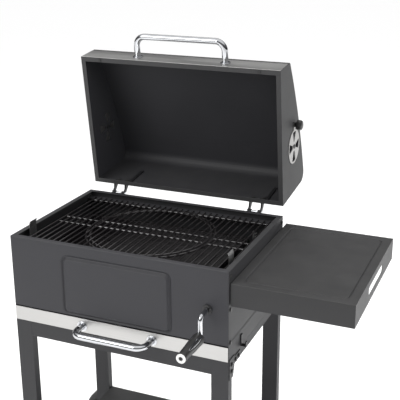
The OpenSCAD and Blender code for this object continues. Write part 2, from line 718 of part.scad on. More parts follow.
module lid_hinge_straps() color("#0c0c0c") place() opened() for (s = [-1, 1])
  span([s * hinge_x + 22, lid_y1 - sheet - 3, lid_z0 + 8],
    [s * hinge_x + 22 + strap_w, lid_y1 - sheet, lid_z0 + 8 + strap_len]);
module bolt_y(grip) rotate([0, 0, 90]) screw_x(grip);
module lid_hinge_bolts() color("#101010") place() opened() at_hinges() for (k = [-1, 1])
  translate([k * leaf_holes_x, lid_y1 - sheet, lid_z0 + lid_leaf_rise]) bolt_y(sheet + leaf_t + 2);
module firebox_hinge_bolts() color("#101010") place() at_hinges() for (k = [-1, 1])
  translate([k * leaf_holes_x, rear_y - sheet, rim_z - box_leaf_drop]) bolt_y(sheet + leaf_t + 2);

/* ---------- lid vents ---------- */
rivet_d = 6;
disc_t = 1.2;
disc_gap = 0.3;
lever_w = 12;
module at_vent() opened() translate([lid_half, vent_at[0], vent_at[1]]) rotate([90, 0, 90])
  rotate(vent_turn) children();
module vent_disc(shut) at_vent() rotate(shut) translate([0, 0, disc_gap]) difference() {
  union() {
    cylinder(h = disc_t, d = vent_d, $fn = 96);
    translate([0, -lever_w / 2, 0]) cube([vent_lever, lever_w, disc_t]);
    translate([vent_lever, 0, 0]) cylinder(h = disc_t, d = lever_w);
  }
  translate([0, 0, -1]) linear_extrude(4) {
    petals();
    circle(d = rivet_d + 2 * running);
  }
}
knob_d = 29;
knob_h = 22;
module vent_knob(shut) at_vent() rotate(shut) translate([vent_lever, 0, disc_gap + disc_t]) {
  cylinder(h = 6, d = 16);
  translate([0, 0, 6]) rotate_extrude($fn = 60) polygon([[0, 0], [knob_d / 2 - 3, 0],
    [knob_d / 2, 3], [knob_d / 2, knob_h - 9], [knob_d / 2 - 3, knob_h - 6], [0, knob_h - 6]]);
}
module vent_disc_left() color("#c8c8c6") place() mirror([1, 0, 0]) vent_disc(vent_travel);
module vent_disc_right() color("#c8c8c6") place() vent_disc(0);
module vent_knob_left() color("#101010") place() mirror([1, 0, 0]) vent_knob(vent_travel);
module vent_knob_right() color("#101010") place() vent_knob(0);
module vent_rivets() color("#202020") place() both() at_vent() {
  translate([0, 0, -sheet - 2]) cylinder(h = sheet + 2 + disc_gap + disc_t + 0.3, d = rivet_d);
  translate([0, 0, disc_gap + disc_t + 0.3]) cylinder(h = 2, d = rivet_d + 6);
  translate([0, 0, -sheet - 2]) cylinder(h = 2, d = rivet_d + 5);
}

/* ---------- side table ---------- */
table_y0 = front_y + table_front;
table_y1 = table_y0 + table_d;
table_z = rim_z - table_drop;
hanger_w = 60;
hanger_ys = [table_y0 + 75, table_y1 - 75];
table_screw_points = [for (y = hanger_ys, k = [-18, 18]) [y + k, table_z - table_skirt + 20]];
table_mid = [(table_x0 + table_x1) / 2, (table_y0 + table_y1) / 2];
recess_r = 16;
slot_z = table_z - 17 - slot_h / 2;

module table_recess_shape(grow) rounded(table_w - 2 * table_border + 2 * grow,
  table_d - 2 * table_border + 2 * grow, recess_r + grow);
module side_table() color("#565658") place() difference() {
  union() {
    difference() {
      span([table_x0, table_y0, table_z - table_skirt], [table_x1, table_y1, table_z]);
      span([table_x0 + sheet, table_y0 + sheet, table_z - table_skirt - 1],
        [table_x1 - sheet, table_y1 - sheet, table_z - sheet]);
    }
    translate([table_mid[0], table_mid[1], table_z - table_recess - sheet])
      linear_extrude(table_recess + sheet) table_recess_shape(sheet);
  }
  translate([table_mid[0], table_mid[1], table_z - table_recess])
    linear_extrude(table_recess + 1) table_recess_shape(0);
  translate([table_x1, table_mid[1], slot_z]) rotate([90, 0, 90]) linear_extrude(20, center = true)
    rounded(slot_len, slot_h, slot_h / 2 - 1);
  for (p = table_screw_points) hole_x(table_x0, p[0], p[1]);
}
module table_hangers() color("#303032") place() difference() {
  for (y = hanger_ys) span([half_w, y - hanger_w / 2, table_z - table_skirt + 2],
    [table_x0, y + hanger_w / 2, table_z - 4]);
  for (p = table_screw_points) hole_x(half_w, p[0], p[1]);
}
module table_screws() color("#1c1c1c") place() for (p = table_screw_points)
  translate([table_x0 + sheet, p[0], p[1]]) mirror([1, 0, 0])
    screw_x(table_x0 - half_w + 2 * sheet + 3);

/* ---------- stand ---------- */
leg_top = rim_z - wall_h;
cap_t = 4;
left_leg_z = wheel_r - 22;
rail_t = 1.5;
gusset_screw_points = [[18, 13], [18, 32], [43, 12], [63, 12]];
module tube_box(lo, hi) difference() {
  span(lo, hi);
  span([lo[0] + rail_t, lo[1] + rail_t, lo[2] - 1], [hi[0] - rail_t, hi[1] - rail_t, hi[2] + 1]);
}
module leg(foot_z) difference() {
  tube_box([half_w - leg_w, front_y, foot_z], [half_w, front_y + leg_d, leg_top]);
  for (p = gusset_screw_points) if (p[0] < leg_d) hole_x(half_w, front_y + p[0], leg_top - p[1]);
}
module wheel_leg() difference() {
  leg(left_leg_z);
  translate([-axle_x, 0, wheel_r]) rod_y(front_y - 5, front_y + leg_d + 5, axle_d + 0.1);
}
module leg_front_right() color("#48484a") place() leg(cap_t);
module leg_rear_right() color("#48484a") place() mirror([0, 1, 0]) leg(cap_t);
module leg_front_left() color("#48484a") place() mirror([1, 0, 0]) wheel_leg();
module leg_rear_left() color("#48484a") place() mirror([1, 0, 0]) mirror([0, 1, 0]) wheel_leg();

module leg_cap(foot_z) translate([half_w - leg_w / 2, front_y + leg_d / 2, foot_z - cap_t]) {
  linear_extrude(cap_t) rounded(leg_w, leg_d, 2);
  translate([0, 0, cap_t]) linear_extrude(14) square([leg_w - 2 * rail_t - 0.2,
    leg_d - 2 * rail_t - 0.2], center = true);
}
module leg_caps() color("#101010") place() for (s = [0, 1]) mirror([0, s, 0]) {
  leg_cap(cap_t);
  mirror([1, 0, 0]) leg_cap(left_leg_z);
}

module stand_rails() color("#48484a") place() for (s = [0, 1]) mirror([0, s, 0]) {
  x = half_w - leg_w;
  difference() {
    span([-x, front_y, leg_top - rail_h], [x, front_y + leg_d, leg_top]);
    span([-x - 1, front_y + rail_t, leg_top - rail_h + rail_t],
      [x + 1, front_y + leg_d - rail_t, leg_top - rail_t]);
  }
}
side_rail_t = 18;
module side_rails() color("#48484a") place() both() difference() {
  y = body_d / 2 - leg_d;
  span([half_w - side_rail_t, -y, leg_top - side_rail_h], [half_w, y, leg_top]);
  span([half_w - side_rail_t + rail_t, -y - 1, leg_top - side_rail_h + rail_t],
    [half_w - rail_t, y + 1, leg_top - rail_t]);
  for (p = gusset_screw_points, s = [-1, 1]) if (p[0] > leg_d)
    hole_x(half_w, s * (front_y + p[0]), leg_top - p[1]);
}
gusset_t = 2;
module corner_gussets() color("#303032") place() both() for (s = [0, 1]) mirror([0, s, 0])
  difference() {
    translate([half_w, front_y, leg_top]) rotate([90, 0, 90]) linear_extrude(gusset_t)
      polygon([[3, 4], [36, 4], [36, -2], [75, -2], [75, -20], [36, -20], [26, -50], [3, -50]]);
    for (p = gusset_screw_points) hole_x(half_w, front_y + p[0], leg_top - p[1]);
  }
module gusset_screws() color("#141414") place() both() for (s = [0, 1], p = gusset_screw_points)
  mirror([0, s, 0]) translate([half_w + gusset_t, front_y + p[0], leg_top - p[1]])
    mirror([1, 0, 0]) screw_x(8);

module lower_shelf() color("#48484a") place() difference() {
  x = half_w - leg_w;
  y = body_d / 2 - 2;
  span([-x, -y, shelf_z - shelf_skirt], [x, y, shelf_z]);
  span([-x + sheet, -y + sheet, shelf_z - shelf_skirt - 1], [x - sheet, y - sheet, shelf_z - sheet]);
}

/* ---------- wheels ---------- */
hub_len = 38;
hub_gap = 3;
wheel_y = body_d / 2 + hub_gap + hub_len / 2;
nut_t = 7;
module wheel_axle() color("silver") place() translate([axle_x, 0, wheel_r]) {
  y = wheel_y + hub_len / 2 + 1;
  rod_y(-y, y, axle_d);
  for (s = [0, 1]) mirror([0, s, 0]) {
    translate([0, -y, 0]) rod_y(-nut_t, 0, axle_d + 8);
  }
}
module wheel() translate([axle_x, 0, wheel_r]) rotate([90, 0, 0]) rotate_extrude($fn = 96)
  polygon([
    [axle_d / 2 + running, -hub_len / 2], [15, -hub_len / 2], [17, -5], [wheel_r - 22, -4],
    [wheel_r - 18, -wheel_w / 2 + 2], [wheel_r - 4, -wheel_w / 2], [wheel_r, -wheel_w / 2 + 6],
    [wheel_r, wheel_w / 2 - 6], [wheel_r - 4, wheel_w / 2], [wheel_r - 18, wheel_w / 2 - 2],
    [wheel_r - 22, 4], [17, 5], [15, hub_len / 2], [axle_d / 2 + running, hub_len / 2]]);
module wheel_front() color("#141414") place() translate([0, -wheel_y, 0]) wheel();
module wheel_rear() color("#141414") place() translate([0, wheel_y, 0]) wheel();

front_panel();
rear_panel();
left_wall();
right_wall();
grate_ledges();
lid_guide_tabs();
tool_hook();
firebox_screws();
drawer_runners();
lift_guides();
main_grate();
grate_insert();
charcoal_pan();
lift_cradle();
lift_racks();
crank_rod();
lift_pinions();
crank_bushes();
crank_rosette();
crank_grip();
crank_grip_inlays();
crank_end_cap();
ash_drawer();
drawer_front();
drawer_handle();
drawer_handle_flanges();
lid_shell();
lid_side_left();
lid_side_right();
lid_trim_strip();
lid_handle();
lid_handle_flanges();
lid_bumpers();
lid_hinge_leaves();
lid_hinge_straps();
lid_hinge_bolts();
firebox_hinge_leaves();
firebox_hinge_bolts();
hinge_pins();
vent_disc_left();
vent_disc_right();
vent_knob_left();
vent_knob_right();
vent_rivets();
side_table();
table_hangers();
table_screws();
leg_front_left();
leg_front_right();
leg_rear_left();
leg_rear_right();
stand_rails();
side_rails();
corner_gussets();
gusset_screws();
leg_caps();
lower_shelf();
wheel_axle();
wheel_front();
wheel_rear();
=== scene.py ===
# Barrel charcoal grill with its lid open: looks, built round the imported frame. Metres, +Z up.
import math
import bmesh
import bpy
import numpy as np
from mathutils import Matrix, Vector


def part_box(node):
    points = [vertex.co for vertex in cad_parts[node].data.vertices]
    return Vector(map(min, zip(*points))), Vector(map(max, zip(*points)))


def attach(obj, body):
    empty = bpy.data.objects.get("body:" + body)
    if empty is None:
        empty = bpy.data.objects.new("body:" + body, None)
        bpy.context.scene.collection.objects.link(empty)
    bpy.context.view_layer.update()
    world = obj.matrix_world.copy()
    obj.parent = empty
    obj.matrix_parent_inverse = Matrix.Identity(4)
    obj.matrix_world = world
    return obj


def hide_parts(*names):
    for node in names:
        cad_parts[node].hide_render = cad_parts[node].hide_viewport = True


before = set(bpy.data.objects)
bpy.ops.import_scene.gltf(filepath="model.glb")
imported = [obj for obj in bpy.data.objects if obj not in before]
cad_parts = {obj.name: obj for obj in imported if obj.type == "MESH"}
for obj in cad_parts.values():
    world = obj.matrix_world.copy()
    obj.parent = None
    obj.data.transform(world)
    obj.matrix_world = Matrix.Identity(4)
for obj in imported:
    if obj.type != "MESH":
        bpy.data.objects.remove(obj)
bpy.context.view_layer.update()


# ---- Powder-coated sheet steel ---------------------------------------------------------------
# The firebox, lid, table, shelf and stand are 1.5 mm sheet or square tube, folded, then coated
# with a textured anthracite powder. The coat is a little lighter where light rakes its grain.
def new_group(name, inputs, outputs):
    """An empty shader node group with the given float or colour sockets."""
    group = bpy.data.node_groups.new(name, "ShaderNodeTree")
    for label, kind, value in inputs:
        socket = group.interface.new_socket(label, in_out="INPUT", socket_type=kind)
        socket.default_value = value
    for label, kind in outputs:
        group.interface.new_socket(label, in_out="OUTPUT", socket_type=kind)
    into = group.nodes.new("NodeGroupInput")
    out = group.nodes.new("NodeGroupOutput")
    return group, into, out


NUMBER = "NodeSocketFloat"
COLOUR = "NodeSocketColor"
POINT = "NodeSocketVector"


def math_node(group, operation, first, second, clamp=False):
    """One Math node; first and second are sockets or plain numbers."""
    node = group.nodes.new("ShaderNodeMath")
    node.operation = operation
    node.use_clamp = clamp
    for socket, value in zip(node.inputs, (first, second)):
        if isinstance(value, bpy.types.NodeSocket):
            group.links.new(value, socket)
        else:
            socket.default_value = value
    return node.outputs[0]


def mix_colours(group, factor, first, second, blend="MIX"):
    """One colour Mix node; each value is a socket or a plain value."""
    node = group.nodes.new("ShaderNodeMix")
    node.data_type = "RGBA"
    node.blend_type = blend
    sockets = node.inputs[0], node.inputs[6], node.inputs[7]
    for socket, value in zip(sockets, (factor, first, second)):
        if isinstance(value, bpy.types.NodeSocket):
            group.links.new(value, socket)
        else:
            socket.default_value = value
    return node.outputs[2]


def spread(group, value, times, plus):
    """The value times one number plus another, in one Math node."""
    out = math_node(group, "MULTIPLY_ADD", value, times)
    out.node.inputs[2].default_value = plus
    return out


def shaded(group, colour, value):
    """The colour multiplied by a number that changes over the surface."""
    grey = group.nodes.new("ShaderNodeCombineColor")
    for channel in grey.inputs:
        group.links.new(value, channel)
    return mix_colours(group, 1.0, colour, grey.outputs[0], "MULTIPLY")


def noise(group, point, scale, detail=3.0, roughness=0.5):
    """Noise over the given point socket, as a number from 0 to 1."""
    node = group.nodes.new("ShaderNodeTexNoise")
    node.inputs["Scale"].default_value = scale
    node.inputs["Detail"].default_value = detail
    node.inputs["Roughness"].default_value = roughness
    group.links.new(point, node.inputs["Vector"])
    return node.outputs["Fac"]


def coat_grain_group():
    """Fine orange peel of a baked powder: two sizes of noise, for height, tone and roughness."""
    group, into, out = new_group(
        "coat_grain",
        [("Point", POINT, (0, 0, 0)), ("Color", COLOUR, (0.1, 0.1, 0.1, 1)),
         ("Roughness", NUMBER, 0.5)],
        [("Color", COLOUR), ("Roughness", NUMBER), ("Height", NUMBER)])
    fine_scale, peel_scale, cloud_scale, fine_share = 900.0, 210.0, 7.0, 0.35
    fine = noise(group, into.outputs["Point"], fine_scale, 2.0)
    peel = noise(group, into.outputs["Point"], peel_scale, 2.0)
    cloud = noise(group, into.outputs["Point"], cloud_scale, 4.0, 0.6)
    height = math_node(group, "ADD", math_node(group, "MULTIPLY", fine, fine_share), peel)
    tone = spread(group, cloud, 0.3, 0.85)
    speck = spread(group, fine, 0.24, 0.88)
    both = math_node(group, "MULTIPLY", tone, speck)
    group.links.new(shaded(group, into.outputs["Color"], both), out.inputs["Color"])
    sheen = spread(group, cloud, 0.16, -0.08)
    group.links.new(math_node(group, "ADD", into.outputs["Roughness"], sheen),
                    out.inputs["Roughness"])
    group.links.new(height, out.inputs["Height"])
    return group


def dust_group():
    """Pale dust that settles on what faces up, broken up by noise: a colour and a roughness."""
    group, into, out = new_group(
        "settled_dust",
        [("Point", POINT, (0, 0, 0)), ("Color", COLOUR, (0.1, 0.1, 0.1, 1)),
         ("Roughness", NUMBER, 0.5), ("Amount", NUMBER, 0.1)],
        [("Color", COLOUR), ("Roughness", NUMBER)])
    facing = group.nodes.new("ShaderNodeNewGeometry")
    parts = group.nodes.new("ShaderNodeSeparateXYZ")
    group.links.new(facing.outputs["Normal"], parts.inputs[0])
    up = math_node(group, "MULTIPLY", parts.outputs["Z"], 1.0, clamp=True)
    patch = noise(group, into.outputs["Point"], 16.0, 5.0, 0.65)
    cover = math_node(group, "MULTIPLY", math_node(group, "MULTIPLY", up, patch),
                      into.outputs["Amount"])
    dust_colour = (0.45, 0.44, 0.42, 1)
    group.links.new(mix_colours(group, cover, into.outputs["Color"], dust_colour),
                    out.inputs["Color"])
    group.links.new(math_node(group, "ADD", into.outputs["Roughness"], cover),
                    out.inputs["Roughness"])
    return group


def inward_group():
    """1 on faces that look towards a centre and 0 on faces that look away from it."""
    group, into, out = new_group(
        "inward_faces",
        [("Point", POINT, (0, 0, 0)), ("Facing", POINT, (0, 0, 1)),
         ("Centre", POINT, (0, 0, 0))],
        [("Mask", NUMBER)])
    away = group.nodes.new("ShaderNodeVectorMath")
    away.operation = "SUBTRACT"
    group.links.new(into.outputs["Point"], away.inputs[0])
    group.links.new(into.outputs["Centre"], away.inputs[1])
    along = group.nodes.new("ShaderNodeVectorMath")
    along.operation = "DOT_PRODUCT"
    group.links.new(away.outputs[0], along.inputs[0])
    group.links.new(into.outputs["Facing"], along.inputs[1])
    group.links.new(math_node(group, "LESS_THAN", along.outputs["Value"], 0.0),
                    out.inputs["Mask"])
    return group


COAT_GRAIN = coat_grain_group()
INWARD_FACES = inward_group()
SETTLED_DUST = dust_group()


def material(name):
    """A new material: its node tree, its Principled shader and its Object coordinates."""
    made = bpy.data.materials.new(name)
    made.use_nodes = True
    tree = made.node_tree
    shader = tree.nodes["Principled BSDF"]
    place = tree.nodes.new("ShaderNodeTexCoord").outputs["Object"]
    return made, tree, shader, place


def grouped(tree, group, place, **values):
    """A group node fed with Object coordinates and plain or linked values."""
    node = tree.nodes.new("ShaderNodeGroup")
    node.node_tree = group
    tree.links.new(place, node.inputs["Point"])
    for label, value in values.items():
        if isinstance(value, bpy.types.NodeSocket):
            tree.links.new(value, node.inputs[label])
        else:
            node.inputs[label].default_value = value
    return node


def bump(tree, shader, height, strength, distance):
    """A Bump node of that height, into the shader's normal."""
    node = tree.nodes.new("ShaderNodeBump")
    node.inputs["Strength"].default_value = strength
    node.inputs["Distance"].default_value = distance
    tree.links.new(height, node.inputs["Height"])
    tree.links.new(node.outputs[0], shader.inputs["Normal"])


def tinted(tree, shader, node):
    """Feeds the shader's colour and roughness from a group node."""
    tree.links.new(node.outputs["Color"], shader.inputs["Base Color"])
    tree.links.new(node.outputs["Roughness"], shader.inputs["Roughness"])


def powder_coat(name, colour, roughness, dust=0.05, grain=0.35, inside_shade=None, centre=(0, 0, 0)):
    """The coat in one colour. With a darker second colour, faces that look towards centre take it
    as painted shade.
    """
    made, tree, shader, place = material(name)
    paint = (*colour, 1)
    if inside_shade:
        facing = tree.nodes.new("ShaderNodeTexCoord").outputs["Normal"]
        inward = grouped(tree, INWARD_FACES, place, Facing=facing, Centre=centre)
        paint = mix_colours(tree, inward.outputs["Mask"], paint, (*inside_shade, 1))
    coat = grouped(tree, COAT_GRAIN, place, Color=paint, Roughness=roughness)
    dusty = grouped(tree, SETTLED_DUST, place, Color=coat.outputs["Color"],
                    Roughness=coat.outputs["Roughness"], Amount=dust)
    tinted(tree, shader, dusty)
    shader.inputs["Specular IOR Level"].default_value = 0.35
    bump(tree, shader, coat.outputs["Height"], grain, 0.0002)
    return made


def middle(*names):
    """Middle of the box round those CAD nodes."""
    low = np.min([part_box(name)[0] for name in names], axis=0)
    high = np.max([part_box(name)[1] for name in names], axis=0)
    return tuple(float(value) for value in (low + high) / 2)


lid_middle = middle("lid_shell")
box_middle = middle("left_wall", "right_wall")
anthracite = powder_coat("anthracite_coat", (0.023, 0.023, 0.025), 0.5)
# Painted shade: faces that look into the firebox or into the open lid take a darker colour than the
# outside coat.
box_inside_shade = (0.018, 0.018, 0.019)
lid_inside_shade = (0.026, 0.026, 0.029)
box_coat = powder_coat("firebox_coat", (0.027, 0.027, 0.031), 0.5, inside_shade=box_inside_shade,
                       centre=box_middle)
# Painted light: the side walls take a slightly lighter copy of the firebox coat, as their sides are
# lit more than the front.
box_lit_side_coat = powder_coat("firebox_lit_side_coat", (0.029, 0.029, 0.031), 0.52,
                            inside_shade=box_inside_shade, centre=box_middle)
lid_coat = powder_coat("lid_coat", (0.035, 0.035, 0.036), 0.56, inside_shade=lid_inside_shade,
                       centre=lid_middle)
# Painted light: the side rails take a lighter copy of the stand's anthracite coat, as their sides
# are lit more.
anthracite_lit_side = powder_coat("anthracite_lit_side_coat", (0.034, 0.034, 0.036), 0.52)
table_coat = powder_coat("table_coat", (0.023, 0.023, 0.024), 0.46)
black_coat = powder_coat("black_coat", (0.010, 0.010, 0.011), 0.42, dust=0.02)


def rounded_edges(piece, width, turn):
    """Rounds edges that turn by more than that many degrees, and keeps flats flat."""
    edge = piece.modifiers.new("edge", "BEVEL")
    edge.width = width
    edge.segments = 2
    edge.limit_method = "ANGLE"
    edge.angle_limit = math.radians(turn)
    edge.harden_normals = True


def finish_nodes(coat, *names, width=0.0006):
    """Gives CAD nodes their finish, and rounds their edges as a fold or a deburred cut is."""
    for name in names:
        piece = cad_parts[name]
        weld = piece.modifiers.new("weld", "WELD")
        weld.merge_threshold = 0.00001
        rounded_edges(piece, width, 32)
        piece.data.materials.clear()
        piece.data.materials.append(coat)


finish_nodes(anthracite, "leg_front_left", "leg_front_right", "leg_rear_left",
             "leg_rear_right", "stand_rails")
finish_nodes(box_coat, "rear_panel", "grate_ledges")
finish_nodes(box_lit_side_coat, "left_wall", "right_wall")
finish_nodes(anthracite_lit_side, "side_rails")
finish_nodes(lid_coat, "lid_shell", "lid_side_left", "lid_side_right")
finish_nodes(table_coat, "side_table", "lower_shelf")
finish_nodes(black_coat, "lid_hinge_leaves", "firebox_hinge_leaves", "lid_hinge_straps",
             "tool_hook", "table_hangers", "corner_gussets", width=0.0004)


# ---- Stainless steel: drawer front, lid strip, vent discs ------------------------------------
# Rolled stainless strip with a brushed grain along its length, left bare. The grain is in its
# tone, its roughness and a very fine bump, under the haze that handling leaves.
def brushed_group():
    """Noise stretched along one axis: short hairs for roughness, tone and height, and a slow
    haze for roughness."""
    group, into, out = new_group(
        "brushed_grain",
        [("Point", POINT, (0, 0, 0)), ("Color", COLOUR, (0.6, 0.6, 0.6, 1)),
         ("Roughness", NUMBER, 0.3)],
        [("Color", COLOUR), ("Roughness", NUMBER), ("Height", NUMBER)])
    stretch = group.nodes.new("ShaderNodeMapping")
    stretch.inputs["Scale"].default_value = (6.0, 1400.0, 1400.0)
    group.links.new(into.outputs["Point"], stretch.inputs["Vector"])
    hairs = noise(group, stretch.outputs[0], 1.0, 3.0, 0.7)
    haze = noise(group, into.outputs["Point"], 9.0, 4.0, 0.6)
    sheen = math_node(group, "ADD", math_node(group, "MULTIPLY", hairs, 0.22),
                      math_node(group, "MULTIPLY", haze, 0.12))
    rougher = math_node(group, "ADD", into.outputs["Roughness"], sheen)
    group.links.new(math_node(group, "ADD", rougher, -0.15), out.inputs["Roughness"])
    tone = spread(group, hairs, 0.22, 0.86)
    group.links.new(shaded(group, into.outputs["Color"], tone), out.inputs["Color"])
    group.links.new(hairs, out.inputs["Height"])
    return group


BRUSHED_GRAIN = brushed_group()


def brushed_metal(name, colour, roughness, strength=0.12):
    """Bare metal in one colour under the brushed grain."""
    made, tree, shader, place = material(name)
    grain = grouped(tree, BRUSHED_GRAIN, place, Color=(*colour, 1), Roughness=roughness)
    tinted(tree, shader, grain)
    shader.inputs["Metallic"].default_value = 1.0
    shader.inputs["Anisotropic"].default_value = 0.4
    bump(tree, shader, grain.outputs["Height"], strength, 0.00005)
    return made


stainless = brushed_metal("brushed_stainless", (0.50, 0.495, 0.485), 0.36)
# Painted light: the lid strip takes a lighter copy of the same stainless, brighter than the drawer
# front and vent discs.
strip_lit_steel = brushed_metal("strip_stainless_lit_copy", (0.60, 0.595, 0.585), 0.34)
finish_nodes(stainless, "drawer_front", width=0.0003)
finish_nodes(strip_lit_steel, "lid_trim_strip", width=0.0003)
finish_nodes(stainless, "vent_disc_left", "vent_disc_right", width=0.0002)


# ---- Bright chrome: handles, flanges, crank rod, hinge pins ----------------------------------
# Drawn tube and rod, bent cold, polished and chromed. Handling leaves faint smears that only
# show as a change of gloss.
def two_tones(tree, value, dark, light):
    """A colour that runs from dark to light as the value runs from 0 to 1."""
    ramp = tree.nodes.new("ShaderNodeValToRGB")
    for stop, colour in zip(ramp.color_ramp.elements, (dark, light)):
        stop.color = (*colour, 1)
    tree.links.new(value, ramp.inputs[0])
    return ramp.outputs[0]


def polished_metal(name, colour, roughness, smear):
    """Mirror metal whose roughness, and a little of its tone, follow one slow noise."""
    made, tree, shader, place = material(name)
    cloud = noise(tree, place, 24.0, 5.0, 0.65)
    rough = spread(tree, cloud, smear, roughness)
    tone = two_tones(tree, cloud, [0.93 * channel for channel in colour], colour)
    tree.links.new(tone, shader.inputs["Base Color"])
    tree.links.new(rough, shader.inputs["Roughness"])
    shader.inputs["Metallic"].default_value = 1.0
    bump(tree, shader, noise(tree, place, 60.0, 2.0), 0.02, 0.0005)
    return made


chrome = polished_metal("bright_chrome", (0.60, 0.61, 0.63), 0.05, 0.09)
finish_nodes(chrome, "lid_handle", "drawer_handle", "crank_rod", "hinge_pins", width=0.0003)
finish_nodes(chrome, "lid_handle_flanges", "drawer_handle_flanges", width=0.0006)


# ---- Zinc-plated steel: lift, runners, tabs, axle --------------------------------------------
# Pressed and cut steel, plated with zinc: a dull metal with faint crystals in its tone.
def zinc_plate():
    """Cells of a Voronoi pattern pick a tone each; noise moves the roughness."""
    made, tree, shader, place = material("zinc_plate")
    crystals = tree.nodes.new("ShaderNodeTexVoronoi")
    crystals.inputs["Scale"].default_value = 160.0
    tree.links.new(place, crystals.inputs["Vector"])
    pick = tree.nodes.new("ShaderNodeSeparateColor")
    tree.links.new(crystals.outputs["Color"], pick.inputs[0])
    tone = two_tones(tree, pick.outputs[0], (0.42, 0.42, 0.43), (0.58, 0.58, 0.57))
    tree.links.new(tone, shader.inputs["Base Color"])
    rough = spread(tree, noise(tree, place, 45.0, 4.0), 0.25, 0.25)
    tree.links.new(rough, shader.inputs["Roughness"])
    shader.inputs["Metallic"].default_value = 1.0
    bump(tree, shader, noise(tree, place, 300.0, 3.0), 0.1, 0.0001)
    return made


zinc = zinc_plate()
finish_nodes(zinc, "lid_guide_tabs", "drawer_runners", "lift_guides", "lift_cradle", "lift_racks",
             "lift_pinions", "wheel_axle", width=0.0003)


# ---- Black enamel: grates, charcoal pan, drawer tray -----------------------------------------
# Welded wire and pressed trays, dipped in glass enamel and fired: black, wet-looking, with the
# slow ripple of glass that ran.
def enamel_finish(name, gloss):
    """Black glass with a ripple in its height and a slow change of tone."""
    made, tree, shader, place = material(name)
    ripple = noise(tree, place, 120.0, 3.0, 0.55)
    cloud = noise(tree, place, 11.0, 4.0, 0.6)
    tone = two_tones(tree, cloud, (0.006, 0.005, 0.006), (0.016, 0.014, 0.015))
    dusty = grouped(tree, SETTLED_DUST, place, Color=tone, Roughness=0.2, Amount=0.03)
    tinted(tree, shader, dusty)
    shader.inputs["Specular IOR Level"].default_value = gloss
    bump(tree, shader, ripple, 0.18, 0.0004)
    return made


enamel = enamel_finish("black_enamel", 0.7)
grate_enamel = enamel_finish("grate_enamel", 1.0)
finish_nodes(enamel, "charcoal_pan", "ash_drawer", width=0.0005)
finish_nodes(grate_enamel, "main_grate", "grate_insert", width=0.0003)


# ---- Moulded plastic, rubber and blackened screws --------------------------------------------
# Black phenolic knobs, plastic bushes, caps and wheels, and silicone bumpers: fine leather
# grain from the mould, and dust on what faces up. Blackened screws have the same dull grain.
def moulded(name, colour, roughness, grain_scale, grain_strength, dust=0.04):
    """Small cells for the height, and a slow noise that moves the tone and the roughness."""
    made, tree, shader, place = material(name)
    cells = tree.nodes.new("ShaderNodeTexVoronoi")
    cells.inputs["Scale"].default_value = grain_scale
    tree.links.new(place, cells.inputs["Vector"])
    cloud = noise(tree, place, 35.0, 4.0, 0.6)
    tone = two_tones(tree, cloud, [0.8 * channel for channel in colour],
                     [1.5 * channel for channel in colour])
    rough = spread(tree, cloud, 0.2, roughness - 0.1)
    dusty = grouped(tree, SETTLED_DUST, place, Color=tone, Roughness=rough, Amount=dust)
    tinted(tree, shader, dusty)
    bump(tree, shader, cells.outputs["Distance"], grain_strength, 0.0002)
    return made


phenolic = moulded("black_phenolic", (0.012, 0.012, 0.012), 0.3, 700.0, 0.08)
plastic = moulded("black_plastic", (0.02, 0.02, 0.02), 0.45, 900.0, 0.2)
wheel_plastic = moulded("wheel_plastic", (0.017, 0.017, 0.017), 0.5, 500.0, 0.25, dust=0.12)
rubber = moulded("silicone_rubber", (0.018, 0.018, 0.018), 0.65, 600.0, 0.15)
pale_cap = moulded("pale_cap", (0.55, 0.55, 0.54), 0.3, 500.0, 0.05)
blackened = moulded("blackened_steel", (0.014, 0.014, 0.014), 0.38, 400.0, 0.05)
finish_nodes(plastic, "crank_bushes", "leg_caps", width=0.0006)
finish_nodes(rubber, "lid_bumpers", width=0.0004)
finish_nodes(blackened, "firebox_screws", "table_screws", "gusset_screws", "lid_hinge_bolts",
             "firebox_hinge_bolts", "vent_rivets", width=0.0004)
finish_nodes(blackened, "crank_rosette", width=0.0006)


# ---- Front panel -----------------------------------------------------------------------------
# One folded sheet: a lip at the top, a return down each side, and a rounded rectangular field
# pressed outwards with a shallow groove round it. Coated like the rest of the firebox.
def surface(name, grids, coat, body, wrap=False, caps=False):
    """A mesh through one or more grids of points: point [i, j] joins [i + 1, j] and [i, j + 1].
    With wrap, the last column joins the first, rows at a point close there, and faces are turned
    outwards; with caps, the first and last rows are closed by one face each."""
    points, faces, start = [], [], 0
    for grid in grids:
        rows, columns = grid.shape[:2]
        index = start + np.arange(rows * columns).reshape(rows, columns)
        if caps:
            faces += [index[0][::-1].tolist(), index[-1].tolist()]
        if wrap:
            index = np.concatenate([index, index[:, :1]], axis=1)
        quads = np.stack([index[:-1, :-1], index[1:, :-1], index[1:, 1:], index[:-1, 1:]],
                         axis=-1)
        faces += quads.reshape(-1, 4).tolist()
        points.append(grid.reshape(-1, 3))
        start += rows * columns
    mesh = bpy.data.meshes.new(name)
    mesh.from_pydata(np.concatenate(points).tolist(), [], faces)
    if wrap:
        shell = bmesh.new()
        shell.from_mesh(mesh)
        bmesh.ops.remove_doubles(shell, verts=shell.verts, dist=1e-6)
        bmesh.ops.recalc_face_normals(shell, faces=shell.faces)
        shell.to_mesh(mesh)
        shell.free()
    mesh.polygons.foreach_set("use_smooth", np.ones(len(mesh.polygons), dtype=bool))
    mesh.materials.append(coat)
    mesh.update()
    piece = bpy.data.objects.new(name, mesh)
    bpy.context.scene.collection.objects.link(piece)
    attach(piece, body)
    return piece


def eased(value):
    """0 below 0, 1 above 1, and a smooth rise between."""
    value = np.clip(value, 0, 1)
    return value * value * (3 - 2 * value)


def bell(value, middle, width):
    """1 at the middle, falling on both sides as e to the minus square of the distance."""
    return np.exp(-((value - middle) / width) ** 2)


